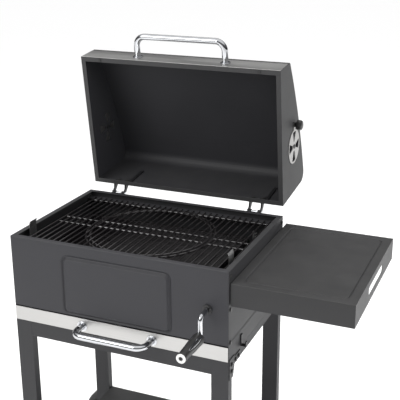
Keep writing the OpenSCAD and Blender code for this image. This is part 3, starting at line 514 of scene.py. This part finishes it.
def rounded_distance(across, along, half_across, half_along, corner):
    """Distance out of a rounded rectangle round 0: less than 0 inside it."""
    side = np.abs(across) - half_across + corner
    rise = np.abs(along) - half_along + corner
    return (np.hypot(np.maximum(side, 0), np.maximum(rise, 0))
            + np.minimum(np.maximum(side, rise), 0) - corner)


SHEET = 0.0015


def sheet_wall(piece):
    """Gives a sheet its wall behind its outer face, and rounds the cut edges."""
    wall = piece.modifiers.new("wall", "SOLIDIFY")
    wall.thickness = SHEET
    wall.offset = -1
    wall.use_even_offset = True
    rounded_edges(piece, 0.0005, 50)


def front_panel():
    """Section: lip, bend of 2.5 mm radius, then the flat front. The front is pushed out by an
    eased step of the distance to a rounded rectangle, less a bell-shaped groove outside it."""
    low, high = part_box("front_panel")
    lip, bend = 0.014, 0.0025
    field_width, field_height, field_drop = 0.292, 0.150, 0.034
    corner, rise, slope = 0.013, 0.005, 0.0052
    groove, groove_place, groove_width = 0.0030, 0.0025, 0.0028
    return_from, return_to = 0.001, 0.022
    face_y = low[1] + rise
    top, bottom = high[2], low[2]
    middle_x = (low[0] + high[0]) / 2
    middle_z = top - field_drop - field_height / 2
    band = np.linspace(-0.014, 0.020, 35)
    across = np.unique(np.concatenate([
        np.linspace(low[0], high[0], 41), middle_x + field_width / 2 + band,
        middle_x - field_width / 2 - band]).round(6))
    down = np.unique(np.concatenate([
        np.linspace(bottom, top - bend, 13), middle_z + field_height / 2 + band,
        middle_z - field_height / 2 - band]).round(6))
    down = down[(down >= bottom) & (down <= top - bend)]
    turn = np.linspace(0, np.pi / 2, 7)[1:]
    along_z = np.concatenate([down, top - bend + bend * np.sin(turn), [top, top]])
    along_y = np.concatenate([np.full(len(down), face_y),
                              face_y + bend - bend * np.cos(turn),
                              [face_y + 0.5 * lip, face_y + lip]])
    x, z = np.meshgrid(across, along_z, indexing="ij")
    y = np.broadcast_to(along_y, x.shape).copy()
    distance = rounded_distance(x - middle_x, z - middle_z, field_width / 2, field_height / 2,
                                corner)
    on_front = along_y[None, :] <= face_y + 1e-6
    pressed = (rise * eased(-distance / slope)
               - groove * bell(distance, groove_place, groove_width))
    y -= np.where(on_front, pressed, 0)
    face = np.stack([x, y, z], axis=-1)
    returns = []
    for edge, order in ((low[0], -1), (high[0], 1)):
        depth, rise_z = np.meshgrid(np.linspace(face_y + return_from, face_y + return_to, 3),
                                    np.linspace(bottom, top - SHEET, 3), indexing="ij")
        returns.append(np.stack([np.full(depth.shape, edge), depth, rise_z], axis=-1)[::order])
    panel = surface("front_skin", [face, *returns], box_coat, "frame")
    sheet_wall(panel)
    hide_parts("front_panel")


front_panel()


# ---- Side table ------------------------------------------------------------------------------
# A folded steel tray turned upside down: a shallow panel pressed into its top inside a narrow
# groove, a skirt all round, and a long rounded slot in the outer skirt that serves as its grip.
def table_skirt_with_slot(x, low, high, centre, length, height, corner):
    """A flat ring of points from the slot's outline out to the skirt's. Each ray from the slot's
    centre meets the rounded slot, then the rectangle, and rows lie evenly between the two."""
    far = [math.atan2(z - centre[1], y - centre[0])
           for y in (low[1], high[1]) for z in (low[2], high[2])]
    angle = np.unique(np.concatenate([np.linspace(-np.pi, np.pi, 161)[:-1], far]).round(9))
    line = np.linspace(0, 1, 4001)[:, None]
    run_y, run_z = np.cos(angle), np.sin(angle)
    room_y = np.where(run_y > 0, high[1] - centre[0], centre[0] - low[1])
    room_z = np.where(run_z > 0, high[2] - centre[1], centre[1] - low[2])
    outer = np.minimum(room_y / np.maximum(abs(run_y), 1e-9),
                       room_z / np.maximum(abs(run_z), 1e-9))
    side = np.maximum(abs(line * outer * run_y) - length / 2 + corner, 0)
    rise = np.maximum(abs(line * outer * run_z) - height / 2 + corner, 0)
    inner = outer * (np.sum(np.hypot(side, rise) <= corner, axis=0) / len(line))
    radius = inner + np.linspace(0, 1, 5)[:, None] * (outer - inner)
    grid = np.stack([np.full(radius.shape, x), centre[0] + radius * run_y,
                     centre[1] + radius * run_z], axis=-1)
    return np.concatenate([grid, grid[:, :1]], axis=1)


def side_table():
    """Section across the table: skirt, bend of 2 mm radius, top, bend, skirt. The top sinks by an
    eased step of the distance inside a rounded rectangle, less a bell-shaped groove at its edge."""
    low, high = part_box("side_table")
    border, corner, bend, hair = 0.022, 0.016, 0.002, 0.0003
    recess, slope = 0.0012, 0.004
    groove, groove_place, groove_width = 0.0022, -0.002, 0.0016
    slot_length, slot_height, slot_corner, slot_drop = 0.154, 0.022, 0.010, 0.028
    half = [(high[k] - low[k]) / 2 - border for k in (0, 1)]
    mid = [(high[k] + low[k]) / 2 for k in (0, 1)]
    band = np.linspace(-0.010, 0.012, 31)
    stops = [np.unique(np.concatenate([
        np.linspace(low[k] + inset, high[k] - inset, 25), mid[k] + half[k] + band,
        mid[k] - half[k] + band]).round(6)) for k, inset in ((0, hair), (1, bend))]
    stops = [stop[(stop >= low[k] + inset - 1e-6) & (stop <= high[k] - inset + 1e-6)]
             for k, (stop, inset) in enumerate(zip(stops, (hair, bend)))]
    turn = np.linspace(0, np.pi / 2, 6)[:-1]
    along_y = np.concatenate([[low[1]], low[1] + bend - bend * np.cos(turn), stops[1],
                              high[1] - bend + bend * np.cos(turn[::-1]), [high[1]]])
    along_z = np.concatenate([[low[2]], high[2] - bend + bend * np.sin(turn),
                              np.full(len(stops[1]), high[2]),
                              high[2] - bend + bend * np.sin(turn[::-1]), [low[2]]])
    x, y = np.meshgrid(stops[0], along_y, indexing="ij")
    distance = rounded_distance(x - mid[0], y - mid[1], half[0], half[1], corner)
    sunk = (recess * eased(-distance / slope)
            + groove * bell(distance, groove_place, groove_width))
    z = along_z[None, :] - np.where(abs(along_z - high[2]) < 1e-9, sunk, 0)
    tray = np.stack([x, y, z], axis=-1)
    ends_low, ends_high = np.array(low) + hair, np.array(high) - hair
    end_y, end_z = np.meshgrid([ends_low[1], ends_high[1]], [low[2], ends_high[2]],
                               indexing="ij")
    inner_end = np.stack([np.full(end_y.shape, low[0]), end_y, end_z], axis=-1)[::-1]
    outer_end = table_skirt_with_slot(high[0], (0, ends_low[1], low[2]), ends_high,
                                      (mid[1], high[2] - slot_drop), slot_length, slot_height,
                                      slot_corner)
    table = surface("table_tray", [tray, inner_end, outer_end], table_coat, "frame")
    sheet_wall(table)
    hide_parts("side_table")


side_table()


# ---- Crank grip ------------------------------------------------------------------------------
# A turned black plastic grip, thick near the arm and slimmer at its end, with four flutes that
# each hold a bright lens-shaped inlay. A pale cap with a dark screw keeps it on the rod.
GRIP_FLUTES = np.radians([45, 135, 225, 315])


def round_axis_y(radius, angle, along, centre):
    """Points at that radius and angle round an axis along Y through centre (x, z)."""
    return np.stack(np.broadcast_arrays(centre[0] + radius * np.cos(angle), along,
                                        centre[1] + radius * np.sin(angle)), axis=-1)


def lathed(name, radii, along, centre, coat, body, sides=48):
    """A profile of radii and places along Y, carried round its axis."""
    angle = np.linspace(0, 2 * np.pi, sides, endpoint=False)
    grid = round_axis_y(np.array(radii)[:, None], angle[None, :], np.array(along)[:, None], centre)
    return surface(name, [grid], coat, body, wrap=True)


def crank_grip():
    """Radius = a turned profile, pulled in to the inlay's seat inside each flute. An inlay is an
    ellipse carried along the flute, whose width and height both shrink to nothing at its ends."""
    low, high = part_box("crank_grip")
    centre = ((low[0] + high[0]) / 2, (low[2] + high[2]) / 2)
    length = high[1] - low[1]
    places = [0, 0, 0.012, 0.04, 0.10, 0.2, 0.34, 0.5, 0.7, 0.86, 0.93, 0.975, 1, 1]
    radii = [0.0052, 0.0105, 0.0127, 0.0145, 0.0154, 0.0155, 0.0150, 0.0141, 0.0130, 0.0123,
             0.0121, 0.0117, 0.0108, 0.0052]
    flute_from, flute_to, flute_run, flute_depth = 0.08, 0.78, 0.70, 0.0011
    flute_half, flute_margin, flute_fade = 0.36, 0.10, 0.14
    inlay_from, inlay_run, inlay_half = 0.09, 0.68, 0.34
    inlay_lift, inlay_crown = 0.0003, 0.0006
    step = np.concatenate([[0, 0], np.linspace(0.002, 1, 90), [1]])
    base = np.interp(step, places[1:-1], radii[1:-1])
    base[0], base[-1] = radii[0], radii[-1]
    angle = np.linspace(0, 2 * np.pi, 144, endpoint=False)
    seat = base - flute_depth
    span = np.clip((step - flute_from) / flute_run, 0, 1)
    half_width = flute_half * np.sqrt(np.sin(np.pi * span))
    apart = np.min(np.abs((angle[:, None] - GRIP_FLUTES + np.pi) % (2 * np.pi) - np.pi), axis=1)
    inside = eased((half_width[:, None] + flute_margin - apart[None, :]) / flute_fade)
    inside *= ((step > flute_from) & (step < flute_to))[:, None]
    radius = base[:, None] - (base - seat)[:, None] * inside
    grid = round_axis_y(radius, angle[None, :], (high[1] - length * step)[:, None], centre)
    grip = surface("grip_body", [grid], phenolic, "crank_handle", wrap=True)
    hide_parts("crank_grip")
    run = np.linspace(0, 1, 33)[:, None]
    turn = np.linspace(0, 2 * np.pi, 16, endpoint=False)[None, :]
    swell = np.sqrt(np.sin(np.pi * np.clip(run, 1e-6, 1 - 1e-6)))
    place = inlay_from + inlay_run * run
    out = np.interp(place, step, seat) + inlay_lift + inlay_crown * np.sin(turn) * swell
    inlays = [round_axis_y(out, flute + inlay_half * np.cos(turn) * swell,
                           high[1] - length * place, centre) for flute in GRIP_FLUTES]
    bright = surface("grip_inlays", inlays, chrome, "crank_handle", wrap=True, caps=True)
    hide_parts("crank_grip_inlays")
    cap_low, cap_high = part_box("crank_end_cap")
    rim = (cap_high[0] - cap_low[0]) / 2
    inner, outer = cap_high[1], cap_low[1]
    cap = lathed("grip_cap",
                 [0.0049, rim - 0.001, rim, rim, rim - 0.0012, 0.0062, 0.0052, 0.0050, 0.0049],
                 [inner, inner, inner - 0.0008, outer + 0.0012, outer, outer, outer + 0.0008,
                  outer + 0.003, inner],
                 centre, pale_cap, "crank")
    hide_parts("crank_end_cap")
    screw = lathed("grip_screw", [0, 0.0022, 0.0024, 0.0040, 0.0046, 0.0047, 0],
                   [outer + 0.0026, outer + 0.0026, outer + 0.0010, outer + 0.0010,
                    outer + 0.0016, inner - 0.0002, inner - 0.0002],
                   centre, blackened, "crank", sides=32)


crank_grip()


# ---- Vent knobs ------------------------------------------------------------------------------
# Moulded phenolic knobs with eight soft facets, each on a short collar riveted to its lever.
def vent_knob(node, body, outward):
    """Radius = a turned profile, flattened eight times round by a raised cosine."""
    facets, facet_depth = 8, 0.055
    low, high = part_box(node)
    centre_y, centre_z = (low[1] + high[1]) / 2, (low[2] + high[2]) / 2
    full = (high[2] - low[2]) / 2
    reach = high[0] - low[0]
    seat_x = low[0] if outward > 0 else high[0]
    places = np.array([0, 0, 0.22, 0.27, 0.29, 0.34, 0.42, 0.72, 0.86, 0.95, 1.0, 1.0])
    radii = np.array([0, 0.48, 0.46, 0.52, 0.80, 0.95, 1.0, 1.0, 0.94, 0.80, 0.60, 0]) * full
    facet = np.array([0, 0, 0, 0, 0.5, 1, 1, 1, 1, 0.8, 0.3, 0])
    angle = np.linspace(0, 2 * np.pi, 96, endpoint=False)
    dent = 0.5 - 0.5 * np.cos(facets * angle)
    radius = radii[:, None] * (1 - facet_depth * facet[:, None] * dent[None, :])
    x = np.broadcast_to((seat_x + outward * reach * places)[:, None], radius.shape)
    grid = np.stack([x, centre_y + radius * np.cos(angle), centre_z + radius * np.sin(angle)],
                    axis=-1)
    knob = surface(node + "_moulding", [grid if outward > 0 else grid[:, ::-1]], phenolic, body,
                   wrap=True)
    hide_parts(node)


vent_knob("vent_knob_right", "right_vent", 1)
vent_knob("vent_knob_left", "left_vent", -1)


# ---- Wheels ----------------------------------------------------------------------------------
# Moulded black wheels: a ribbed tread, a dished web stiffened by eight ribs, and a long hub that
# turns on the axle between the leg and its nut.
def wheel(node, body):
    """Half sections of radius and place along the axle, joined into one ring; the web is pushed
    out where a rib runs, and the tread is cut by shallow grooves."""
    low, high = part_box(node)
    centre = ((low[0] + high[0]) / 2, (low[2] + high[2]) / 2)
    middle_y = (low[1] + high[1]) / 2
    outer = (high[0] - low[0]) / 2
    hub = (high[1] - low[1]) / 2
    bore, tread, rib_count, rib_height = 0.00505, 0.016, 8, 0.0055
    half_radii = [bore, 0.0145, 0.0150, 0.0165, 0.0175, 0.030, 0.045, outer - 0.022,
                  outer - 0.019, outer - 0.017, outer - 0.005, outer - 0.0015, outer, outer,
                  outer - 0.0012, outer]
    half_along = [hub, hub, hub - 0.0006, 0.0062, 0.0050, 0.0045, 0.0045, 0.0050, tread - 0.003,
                  tread - 0.001, tread, tread - 0.001, tread - 0.003, 0.007, 0.006, 0.005]
    rib = [0, 0, 0, 0.2, 1, 1, 1, 1, 0.2, 0, 0, 0, 0, 0, 0, 0]
    radii = np.array(half_radii + half_radii[::-1])[:, None]
    along = np.array(half_along + [-value for value in half_along[::-1]])[:, None]
    ribs = np.array(rib + rib[::-1])[:, None]
    angle = np.linspace(0, 2 * np.pi, 192, endpoint=False)[None, :]
    raised = eased((np.cos(rib_count * angle) - 0.72) / 0.2)
    y = middle_y + along + np.sign(along) * rib_height * ribs * raised
    piece = surface(node + "_moulding", [round_axis_y(radii, -angle, y, centre)],
                    wheel_plastic, body, wrap=True)
    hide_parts(node)


wheel("wheel_front", "front_wheel")
wheel("wheel_rear", "rear_wheel")


# ---- Studio ----------------------------------------------------------------------------------
# A pale floor without a seam, a bright soft sky, a broad key from the front left, a softer fill
# from the right, and a strip above and behind that draws the top edges.
def area_light(name, place, aim, width, height, power, mirrored=True):
    """A soft lamp. One that is not mirrored lights surfaces, but shows in no polished metal."""
    lamp = bpy.data.lights.new(name, "AREA")
    lamp.shape = "RECTANGLE"
    lamp.size = width
    lamp.size_y = height
    lamp.energy = power
    holder = bpy.data.objects.new(name, lamp)
    holder.location = place
    holder.rotation_mode = "QUATERNION"
    holder.rotation_quaternion = (Vector(aim) - Vector(place)).to_track_quat("-Z", "Y")
    holder.visible_glossy = mirrored
    bpy.context.scene.collection.objects.link(holder)


def sky_gradient(tree):
    """White all round for light. Mirrors see a darker room with a bright ceiling, so that chrome
    keeps its dark streaks."""
    plain = tree.nodes["Background"]
    plain.inputs["Color"].default_value = (1.0, 1.0, 1.0, 1)
    plain.inputs["Strength"].default_value = 1.04
    room = tree.nodes.new("ShaderNodeBackground")
    direction = tree.nodes.new("ShaderNodeTexCoord")
    height = tree.nodes.new("ShaderNodeSeparateXYZ")
    tree.links.new(direction.outputs["Generated"], height.inputs[0])
    ramp = tree.nodes.new("ShaderNodeValToRGB")
    ramp.color_ramp.elements[0].position = 0.05
    ramp.color_ramp.elements[0].color = (0.03, 0.03, 0.03, 1)
    ramp.color_ramp.elements[1].position = 0.75
    ramp.color_ramp.elements[1].color = (1.0, 1.0, 1.0, 1)
    middle_stop = ramp.color_ramp.elements.new(0.45)
    middle_stop.color = (0.14, 0.14, 0.145, 1)
    tree.links.new(height.outputs["Z"], ramp.inputs[0])
    tree.links.new(ramp.outputs[0], room.inputs["Color"])
    which = tree.nodes.new("ShaderNodeLightPath")
    choose = tree.nodes.new("ShaderNodeMixShader")
    tree.links.new(which.outputs["Is Glossy Ray"], choose.inputs[0])
    tree.links.new(plain.outputs[0], choose.inputs[1])
    tree.links.new(room.outputs[0], choose.inputs[2])
    tree.links.new(choose.outputs[0], tree.nodes["World Output"].inputs["Surface"])


def studio():
    """The sky, three lamps and the floor."""
    floor_half = 40.0
    scene = bpy.context.scene
    world = bpy.data.worlds.new("studio")
    world.use_nodes = True
    sky_gradient(world.node_tree)
    scene.world = world
    scene.view_settings.view_transform = "Standard"
    area_light("key", (-1.6, -2.6, 2.9), (0, 0, 0.9), 2.2, 1.6, 60)
    area_light("fill", (2.8, -0.6, 2.0), (0.1, 0, 0.8), 1.6, 1.8, 55, mirrored=False)
    area_light("top", (0.0, 1.2, 3.2), (0, 0, 0.9), 2.6, 1.0, 40, mirrored=False)
    mesh = bpy.data.meshes.new("floor")
    corners = ((-1, -1), (1, -1), (1, 1), (-1, 1))
    mesh.from_pydata([(x * floor_half, y * floor_half, 0) for x, y in corners], [],
                     [(0, 1, 2, 3)])
    floor = bpy.data.objects.new("floor", mesh)
    paint = bpy.data.materials.new("pale_floor")
    paint.use_nodes = True
    shader = paint.node_tree.nodes["Principled BSDF"]
    shader.inputs["Base Color"].default_value = (0.97, 0.97, 0.97, 1)
    shader.inputs["Roughness"].default_value = 0.9
    mesh.materials.append(paint)
    scene.collection.objects.link(floor)


studio()


# ---- Camera ----------------------------------------------------------------------------------
# Stands to the right in front of the table's corner, a little above the open lid's middle, and
# looks down to the left.
CAMERA_PLACE = (0.822, -1.852, 1.634)
CAMERA_YAW = math.radians(-22.18)
CAMERA_PITCH = math.radians(17.13)
CAMERA_LENS = 74.76
CAMERA_SHIFT = (-0.05, -0.08)


def aim_camera():
    """The camera looks along its yaw, turned from +Y, and down by its pitch."""
    data = bpy.data.cameras.new("camera")
    data.lens = CAMERA_LENS
    data.sensor_width = 36.0
    data.shift_x, data.shift_y = CAMERA_SHIFT
    data.dof.use_dof = False
    camera = bpy.data.objects.new("camera", data)
    camera.location = CAMERA_PLACE
    ahead = Vector((math.sin(CAMERA_YAW) * math.cos(CAMERA_PITCH),
                    math.cos(CAMERA_YAW) * math.cos(CAMERA_PITCH), -math.sin(CAMERA_PITCH)))
    camera.rotation_mode = "QUATERNION"
    camera.rotation_quaternion = ahead.to_track_quat("-Z", "Y")
    bpy.context.scene.collection.objects.link(camera)
    bpy.context.scene.camera = camera


aim_camera()
